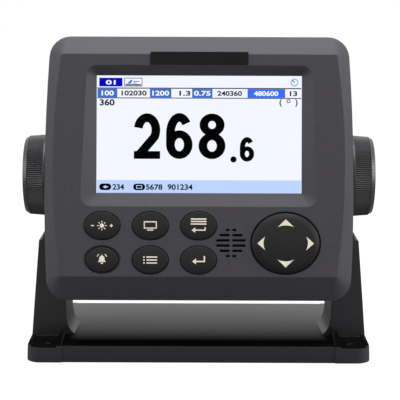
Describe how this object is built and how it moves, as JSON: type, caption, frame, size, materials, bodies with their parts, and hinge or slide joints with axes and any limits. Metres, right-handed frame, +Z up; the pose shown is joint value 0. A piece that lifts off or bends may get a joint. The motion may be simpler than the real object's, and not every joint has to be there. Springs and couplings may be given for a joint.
{
  "type": "satellite compass display unit",
  "caption": "Marine satellite compass display on a tilting table bracket, with a colour screen, keys, cursor pad and two clamping knobs.",
  "frame": {"origin": "centre of the base's underside, on the table", "axes": "+X to the viewer's right, +Y away from the viewer, +Z up; the screen faces -Y and leans back by 10 degrees"},
  "size_m": [0.168, 0.0948, 0.1528],
  "materials": {
    "bracket_plastic": "fine moulded texture with a slight sheen",
    "housing_plastic": "fine spark texture, charcoal",
    "knob_plastic": "fine moulded texture",
    "key_plastic": "satin",
    "black_plastic": "satin",
    "white_plastic": "satin",
    "black_rubber": "matte",
    "gloss_black": "gloss",
    "window_glass": "clear, anti-glare",
    "board": "solder resist",
    "ribbon_film": "polyimide film",
    "plated_steel": "nickel plated",
    "stainless_steel": "stainless",
    "brass": "turned",
    "lit_screen": "lit liquid crystal screen"
  },
  "bodies": {
    "bracket": {"bracket": "bracket_plastic"},
    "display_unit": {"front_bezel": "housing_plastic", "rear_housing": "housing_plastic", "housing_seal": "black_rubber", "display_window": "window_glass", "window_gasket": "black_rubber", "cell_gasket": "black_rubber", "lcd_cell": "lit_screen", "backlight": "white_plastic", "lcd_frame": "plated_steel", "lcd_holder": "black_plastic", "lcd_ribbon": "ribbon_film", "key_sheet": "black_rubber", "key_board": "board", "key_switches": "plated_steel", "key_board_screws": "plated_steel", "key_ribbon": "ribbon_film", "buzzer": "black_plastic", "buzzer_membrane": "black_rubber", "name_plate": "gloss_black", "main_board": "board", "board_components": "black_plastic", "board_screws": "plated_steel", "power_board": "board", "power_board_screws": "plated_steel", "main_ribbon": "ribbon_film", "power_connector": "plated_steel", "power_contacts": "black_plastic", "antenna_connector": "plated_steel", "antenna_contacts": "black_plastic", "connector_nuts": "plated_steel", "connector_seals": "black_rubber", "ground_stud": "brass", "ground_nut": "brass", "rear_screws": "stainless_steel", "screw_inserts": "brass", "knob_insert_left": "brass", "knob_insert_right": "brass", "friction_washer_left": "black_rubber", "friction_washer_right": "black_rubber"},
    "washer_left": {"knob_washer_left": "stainless_steel"},
    "hand_knob_left": {"knob_left": "knob_plastic", "knob_bolt_left": "stainless_steel"},
    "washer_right": {"knob_washer_right": "stainless_steel"},
    "hand_knob_right": {"knob_right": "knob_plastic", "knob_bolt_right": "stainless_steel"},
    "brightness_key": {"brightness_key": "key_plastic"},
    "display_key": {"display_key": "key_plastic"},
    "menu_key": {"menu_key": "key_plastic"},
    "acknowledge_key": {"acknowledge_key": "key_plastic"},
    "list_key": {"list_key": "key_plastic"},
    "enter_key": {"enter_key": "key_plastic"},
    "cursor_pivot": {"cursor_pivot": "plated_steel"},
    "cursor_pad": {"cursor_pad": "key_plastic"}
  },
  "joints": [
    {"name": "tilt", "type": "hinge", "parent": "bracket", "child": "display_unit", "pos_m": [0, -0.006, 0.08446], "axis": [-1, 0, 0], "range_deg": [-11, 45]},
    {"name": "knob_left_travel", "type": "slide", "parent": "display_unit", "child": "washer_left", "axis": [-1, 0, 0], "range_m": [0, 0.0038]},
    {"name": "knob_left_turn", "type": "hinge", "parent": "washer_left", "child": "hand_knob_left", "pos_m": [0, -0.006, 0.08446], "axis": [-1, 0, 0], "range_deg": [0, 1080]},
    {"name": "knob_right_travel", "type": "slide", "parent": "display_unit", "child": "washer_right", "axis": [1, 0, 0], "range_m": [0, 0.0038]},
    {"name": "knob_right_turn", "type": "hinge", "parent": "washer_right", "child": "hand_knob_right", "pos_m": [0, -0.006, 0.08446], "axis": [1, 0, 0], "range_deg": [0, 1080]},
    {"name": "brightness_press", "type": "slide", "parent": "display_unit", "child": "brightness_key", "axis": [0, 0.9848, -0.1736], "range_m": [0, 0.001], "stiffness_N_per_m": 800},
    {"name": "display_press", "type": "slide", "parent": "display_unit", "child": "display_key", "axis": [0, 0.9848, -0.1736], "range_m": [0, 0.001], "stiffness_N_per_m": 800},
    {"name": "menu_press", "type": "slide", "parent": "display_unit", "child": "menu_key", "axis": [0, 0.9848, -0.1736], "range_m": [0, 0.001], "stiffness_N_per_m": 800},
    {"name": "acknowledge_press", "type": "slide", "parent": "display_unit", "child": "acknowledge_key", "axis": [0, 0.9848, -0.1736], "range_m": [0, 0.001], "stiffness_N_per_m": 800},
    {"name": "list_press", "type": "slide", "parent": "display_unit", "child": "list_key", "axis": [0, 0.9848, -0.1736], "range_m": [0, 0.001], "stiffness_N_per_m": 800},
    {"name": "enter_press", "type": "slide", "parent": "display_unit", "child": "enter_key", "axis": [0, 0.9848, -0.1736], "range_m": [0, 0.001], "stiffness_N_per_m": 800},
    {"name": "cursor_up_down", "type": "hinge", "parent": "display_unit", "child": "cursor_pivot", "pos_m": [0.0399, -0.04506, 0.05901], "axis": [1, 0, 0], "range_deg": [-2, 2], "stiffness_Nm_per_rad": 0.4},
    {"name": "cursor_left_right", "type": "hinge", "parent": "cursor_pivot", "child": "cursor_pad", "pos_m": [0.0399, -0.04506, 0.05901], "axis": [0, 0.1736, 0.9848], "range_deg": [-2, 2], "stiffness_Nm_per_rad": 0.4}
  ],
  "couplings": [
    {"joint": "knob_left_travel", "follows": "knob_left_turn", "m_per_rad": 0.00019894},
    {"joint": "knob_right_travel", "follows": "knob_right_turn", "m_per_rad": 0.00019894}
  ]
}
